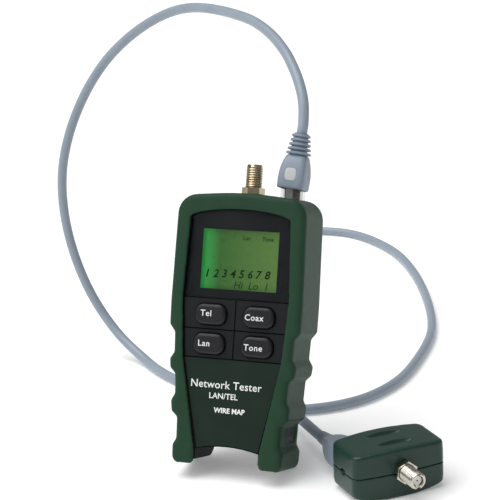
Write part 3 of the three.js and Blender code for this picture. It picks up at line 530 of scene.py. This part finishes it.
def near_rim(place):
    """1 near the remote's outer walls, falling to 0 at RIM_REACH in."""
    wall = REMOTE_HALF_WIDTH + REMOTE_BOW * (1 - (place.x / REMOTE_HALF_LENGTH) ** 2)
    inset = min(REMOTE_HALF_LENGTH - abs(place.x), wall - abs(place.y))
    return max(0.0, min(1.0, 1.5 * (1 - inset / RIM_REACH)))


def rim_eased(target, at_rim):
    """Rounds a remote shell's rim; at_rim says which heights belong to it."""
    group = target.vertex_groups.new(name="edge")
    for vert in target.data.vertices:
        place = REMOTE_INVERSE @ vert.co
        share = near_rim(place) if at_rim(place.z) else 0
        if share > 0:
            group.add([vert.index], share, "REPLACE")
    ease(target, RIM_PASSES, "edge")
    settled(target)
    target.vertex_groups.clear()


def grips_pressed(target):
    """Deepens the two oval grips in the remote's top face."""
    for vert in target.data.vertices:
        place = REMOTE_INVERSE @ vert.co
        for middle in GRIP_YS:
            along = (place.x - GRIP_X) / GRIP_HALF_LENGTH
            across = (place.y - middle) / GRIP_HALF_WIDTH
            inside = 1 - along ** 2 - across ** 2
            if place.z > 25.5 and inside > 0:
                vert.co.z -= GRIP_DEPTH * MM * min(1, 1.6 * inside)


remote_top = softened(
    "remote_top_skin", "remote_top_shell", "remote", "remote_plastic", 0.0004, 6
)
rim_eased(remote_top, lambda z: z > 21.5)
grips_pressed(remote_top)
remote_bottom = softened(
    "remote_bottom_skin", "remote_bottom_shell", "remote", "remote_plastic", 0.0004, 6
)
rim_eased(remote_bottom, lambda z: z < 6)
for key in ("tel", "coax", "lan", "tone"):
    softened(f"{key}_key_cap", f"{key}_key", f"{key}_key", "key_rubber", 0.0002, 8)


def slab(name, low, high, slot, material):
    """A thin slab with broken edges, between two corners in the tester's frame; in the keypad's
    grooves it is a dark strip of painted shade.
    """
    block = box_cutter(low, high, UNIT, 0.08)
    mesh = block.data
    bpy.data.objects.remove(block)
    piece(name, mesh, "unit", slot, material, smooth=False)


# Near-black strips in the bottoms of the keypad's cross grooves: painted shade, not parts of the
# keypad.
slab("groove_shade_across", (-29, 2.62, 74.55), (29, 2.88, 75.15), "panel_plastic", "shadow")
slab("groove_shade_down", (-0.3, 2.62, 59.5), (0.3, 2.88, 91.2), "panel_plastic", "shadow")
slab("pocket_right", (29.35, 9.6, 16), (29.8, 26.4, 23.2), "black_plastic", "pocket")
slab("pocket_left", (-29.8, 9.6, 16), (-29.35, 26.4, 23.2), "black_plastic", "pocket")


# ---------------------------------------------------------------- coaxial sockets
THREAD_PITCH = 1.3  # coarser than the real 0.794, so that it reads in a picture
THREAD_CREST, THREAD_ROOT = 4.68, 4.3
THREAD_LEVELS, THREAD_RISE = 150, 0.1
AROUND = 72  # points in a ring
BARREL_HEIGHT = 16.2
# The barrel's lip and bore: radius, and height from the top.
LIP = [
    (4.25, -1.05), (4.2, -0.35), (4.05, -0.12), (3.8, 0), (3.2, 0), (3.0, -0.2), (2.95, -0.6),
]
BORE_RADIUS = 2.95
SLOT_HALF_WIDTH, SLOT_DEPTH = 1.05, 2.3
# Edge rounding of the CAD's own nodes by their part, in metres: width and segments.
SOCKET_EDGES = {"nut": (0.0003, 3), "insulator": (0.00015, 2)}


def circle(z, radius_at):
    """A ring of points about z; radius_at takes a point's share of the way round."""
    ring = []
    for i in range(AROUND):
        angle = 2 * math.pi * i / AROUND
        radius = radius_at(i / AROUND)
        ring.append((radius * math.cos(angle), radius * math.sin(angle), z))
    return ring


def threaded(z, base):
    """A ring of the thread at z."""
    def radius_at(share):
        phase = ((z - base) / THREAD_PITCH - share) % 1
        tooth = (0.5 - 0.5 * math.cos(2 * math.pi * phase)) ** 0.7
        return THREAD_ROOT + (THREAD_CREST - THREAD_ROOT) * tooth
    return circle(z, radius_at)


def coax_socket(prefix, end, base, slot_turn, slot):
    """A threaded barrel with a slotted lip from base, the nut's low face, and its node edges."""
    top = base + BARREL_HEIGHT
    rings = [
        circle(base - 5, lambda _: THREAD_CREST),
        circle(base - 0.1, lambda _: THREAD_ROOT),
    ]
    rings += [threaded(base + THREAD_RISE * k, base) for k in range(THREAD_LEVELS)]
    rings += [circle(top + drop, lambda _, r=radius: r) for radius, drop in LIP]
    rings.append(circle(base + 1, lambda _: BORE_RADIUS))
    barrel = grown(f"{prefix}_threaded_barrel", *tube(rings), end, prefix, slot)
    slot_low = (-SLOT_HALF_WIDTH, -10, top - SLOT_DEPTH)
    slot_high = (SLOT_HALF_WIDTH, 10, top + SLOT_DEPTH)
    slot_frame = end @ Matrix.Rotation(slot_turn, 4, "Z")
    carved(barrel, box_cutter(slot_low, slot_high, slot_frame))
    barrel.data.set_sharp_from_angle(angle=math.radians(50))
    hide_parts(f"{prefix}_coax_socket")
    for part, (width, segments) in SOCKET_EDGES.items():
        node = bpy.data.objects[f"{prefix}_coax_{part}"]
        edge = node.modifiers.new("edge", "BEVEL")
        edge.width = width
        edge.segments = segments
        edge.limit_method = "ANGLE"
        edge.angle_limit = math.radians(40)


UNIT_SOCKET = UNIT @ Matrix.Translation((0.6, 17, 0))
REMOTE_SOCKET = REMOTE @ Matrix.Translation((1, 0, 15.2)) @ turn(90, 0, 0)
coax_socket("unit", UNIT_SOCKET, 150.3, -0.37, "brass")
coax_socket("remote", REMOTE_SOCKET, 16.8, 0, "nickel")

# ---------------------------------------------------------------- finishes of the CAD's own nodes
NODE_FINISH = {
    "front_shell": "black_plastic", "rear_shell": "black_plastic", "battery_door": "black_plastic",
    "tilt_stand": "black_plastic", "label_plate": "label", "key_membrane": "membrane_rubber",
    "display_lens": "lens", "keypad_frame": "panel_plastic", "display_mask": "panel_plastic",
    "lcd_module": "display", "backlight": "white_plastic",
    "main_board": "circuit_board", "remote_board": "circuit_board",
    "processor_chip": "chip_plastic", "remote_chip": "chip_plastic", "buzzer": "chip_plastic",
    "unit_rj45_jack": "black_plastic", "remote_rj45_jack": "black_plastic",
    "battery_9v": "battery_can", "battery_clip": "black_plastic", "stand_pin": "steel",
    "unit_coax_nut": "brass", "unit_coax_insulator": "white_plastic",
    "remote_coax_nut": "nickel", "remote_coax_insulator": "white_plastic",
    "unit_plug": "clear_plastic", "remote_plug": "clear_plastic",
    "unit_plug_wires": "core", "remote_plug_wires": "core",
    "unit_plug_contacts": "contact_gold", "remote_plug_contacts": "contact_gold",
    "unit_plug_latch": "latch", "remote_plug_latch": "latch",
}
NODE_FINISH.update({f"case_screw_{i}": "steel" for i in (1, 2, 3, 4)})
NODE_FINISH.update({f"remote_screw_{i}": "steel" for i in (1, 2)})
for name, finish in NODE_FINISH.items():
    node = bpy.data.objects[name]
    for holder in node.material_slots:
        holder.material = M[finish]
    if not node.material_slots:
        node.data.materials.append(M[finish])


# ---------------------------------------------------------------- print and display segments
# Depths of the printed faces in the tester's frame.
KEY_FACE = -0.07
LABEL_FACE = 2.14
GLASS = 6.06
# What the letters look like, and the material slot they belong to.
PRINTED = ("print", "white_plastic")
SEGMENT = ("segment", "display")
FAINT_SEGMENT = ("segment_faint", "display")


def lettering(name, words, height, centre, depth, body, look, bold, shear=0.0, gap=1.0):
    """Flat letters on the tester's front, height tall, centred at x and z of its frame."""
    curve = bpy.data.curves.new("letters", "FONT")
    curve.body = words
    curve.offset = bold
    curve.shear = shear
    curve.space_character = gap
    curve.resolution_u = 3
    draft = bpy.data.objects.new("letters", curve)
    scene.collection.objects.link(draft)
    mesh = baked(draft)
    bpy.data.objects.remove(draft)
    co = np.zeros(len(mesh.vertices) * 3)
    mesh.vertices.foreach_get("co", co)
    co = co.reshape(-1, 3)
    low, high = co.min(axis=0), co.max(axis=0)
    size = height / (high[1] - low[1])
    middle = (low + high) / 2
    for vert in mesh.vertices:
        flat = (Vector(vert.co) - Vector(middle)) * size
        vert.co = UNIT @ Vector((centre[0] + flat.x, depth, centre[1] + flat.y))
    material, slot = look
    piece(name, mesh, body, slot, material, smooth=False)


for key, word, centre in (
    ("tel", "Tel", (-16.3, 83.5)), ("coax", "Coax", (11.9, 82.8)),
    ("lan", "Lan", (-16.4, 67)), ("tone", "Tone", (12.2, 66.5)),
):
    lettering(
        f"{key}_key_word", word, 3.35, centre, KEY_FACE, f"{key}_key", PRINTED, 0.008, gap=1.1
    )
for i, (words, height, centre, bold, gap) in enumerate((
    ("Network Tester", 4.2, (-2.6, 44.9), 0.006, 1.04),
    ("LAN/TEL", 3.2, (-3.8, 38.8), 0.012, 1.0),
    ("WIRE MAP", 2.9, (0.0, 31.0), 0.03, 1.0),
)):
    lettering(
        f"label_word_{i + 1}", words, height, centre, LABEL_FACE, "unit", PRINTED, bold, gap=gap
    )
for i in range(8):
    centre = (-19.2 + 5.02 * i, 105.4 + 0.1 * i)
    lettering(
        f"display_digit_{i + 1}", str(i + 1), 4.5, centre, GLASS, "unit", SEGMENT, 0.02, 0.22
    )
for i, (words, height, centre, bold, shear) in enumerate((
    ("Lan", 2.3, (2.6, 125.6), 0.02, 0),
    ("Tone", 2.3, (14.8, 125.6), 0.02, 0),
    ("Hi  Lo  1", 4.0, (6.5, 99.7), 0.006, 0.2),
)):
    lettering(
        f"display_word_{i + 1}", words, height, centre, GLASS, "unit", FAINT_SEGMENT, bold, shear
    )

# ---------------------------------------------------------------- studio
def lamp(name, place, aim, size, power):
    """A soft square lamp that looks at aim."""
    light = bpy.data.lights.new(name, "AREA")
    light.size = size
    light.energy = power
    made = bpy.data.objects.new(name, light)
    made.location = place
    made.rotation_euler = (Vector(aim) - Vector(place)).to_track_quat("-Z", "Y").to_euler()
    scene.collection.objects.link(made)


def sun(name, heading, angle, strength):
    """A wide, even light from far away; heading points to where it comes from."""
    light = bpy.data.lights.new(name, "SUN")
    light.angle = math.radians(angle)
    light.energy = strength
    made = bpy.data.objects.new(name, light)
    made.rotation_euler = Vector(heading).to_track_quat("Z", "Y").to_euler()
    scene.collection.objects.link(made)


sun("top_light", (-0.35, -0.05, 1), 50, 2.3)
lamp("front_lamp", (-0.9, -1.1, 1.1), (0, 0, 0.08), 1.0, 7)
WHITE = (1, 1, 1, 1)
WORLD_LIGHT = 0.3
FLOOR_HALF = 6
world = bpy.data.worlds.new("studio")
scene.world = world
world.use_nodes = True
tree = world.node_tree
sky = tree.nodes["Background"]
sky.inputs["Color"].default_value = WHITE
sky.inputs["Strength"].default_value = WORLD_LIGHT
seen = tree.nodes.new("ShaderNodeBackground")  # what the camera sees past the floor
seen.inputs["Color"].default_value = WHITE
paths = tree.nodes.new("ShaderNodeLightPath")
choose = tree.nodes.new("ShaderNodeMixShader")
tree.links.new(paths.outputs["Is Camera Ray"], choose.inputs["Fac"])
tree.links.new(sky.outputs["Background"], choose.inputs[1])
tree.links.new(seen.outputs["Background"], choose.inputs[2])
tree.links.new(choose.outputs["Shader"], tree.nodes["World Output"].inputs["Surface"])
floor = bpy.data.meshes.new("floor")
floor.from_pydata(
    [(x * FLOOR_HALF, y * FLOOR_HALF, 0) for x, y in ((-1, -1), (1, -1), (1, 1), (-1, 1))],
    [], [(0, 1, 2, 3)],
)
floor_object = bpy.data.objects.new("floor", floor)
scene.collection.objects.link(floor_object)
moulded(
    "floor", (0.88, 0.88, 0.88), 0.85, 0.002, 0.00002, 0.01, Specular_IOR_Level=0.1,
    Emission_Color=WHITE, Emission_Strength=0.22,
)
floor.materials.append(M["floor"])


bpy.context.view_layer.update()
